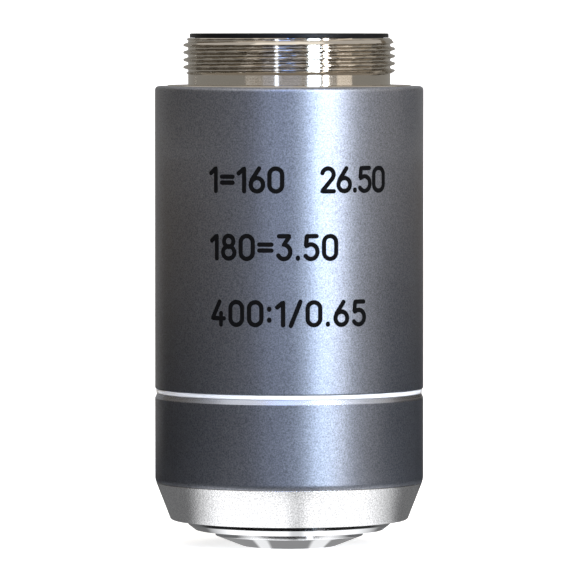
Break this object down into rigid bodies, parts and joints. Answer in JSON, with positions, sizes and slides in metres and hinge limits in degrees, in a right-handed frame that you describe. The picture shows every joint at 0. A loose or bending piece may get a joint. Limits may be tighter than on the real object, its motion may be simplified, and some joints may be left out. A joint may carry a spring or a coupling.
{
  "type": "microscope objective",
  "caption": "Long-working-distance microscope objective: stepped bright nose with a spring-loaded front, grey cylindrical casing with a white colour ring, and a fine mounting thread.",
  "frame": {"origin": "on the optical axis, in the plane of the front rim", "axes": "+Z along the optical axis from the front rim to the mounting thread, -Y towards the engraved side"},
  "size_m": [0.0258, 0.0258, 0.0492],
  "materials": {
    "nickel": "nickel plated, bright",
    "black": "black anodised",
    "grey": "grey anodised, satin",
    "enamel": "white enamel",
    "bright": "satin bright",
    "polished": "polished",
    "brass": "turned",
    "steel": "drawn steel",
    "crown": "coated",
    "flint": "coated"
  },
  "bodies": {
    "body": {"thread_mount": "nickel", "rear_lock_ring": "black", "rear_casing": "grey", "colour_ring": "enamel", "front_casing": "grey", "nose_ring": "bright", "main_tube": "brass", "guide_pin": "steel", "retraction_spring": "steel"},
    "front_barrel": {"inner_barrel": "brass", "barrel_stop_ring": "steel", "front_holder": "polished", "front_cap": "polished", "lens_cell_2": "black", "lens_cell_3": "black", "lens_cell_4": "black", "lens_cell_5": "black", "lens_cell_6": "black", "lens_cell_7": "black", "front_spacer": "black", "aperture_stop": "black", "rear_spacer": "black", "lens_clamp_ring": "black", "front_lens": "crown", "lens_2": "crown", "lens_3a": "crown", "lens_3b": "flint", "lens_4a": "crown", "lens_4b": "flint", "lens_5a": "crown", "lens_5b": "flint", "lens_5c": "crown", "lens_6a": "crown", "lens_6b": "flint", "lens_7": "crown"}
  },
  "joints": [
    {"name": "front_retract", "type": "slide", "parent": "body", "child": "front_barrel", "axis": [0, 0, 1], "range_m": [0, 0.0022], "stiffness_N_per_m": 700, "springref_m": -0.005, "deforming": ["retraction_spring"]}
  ]
}
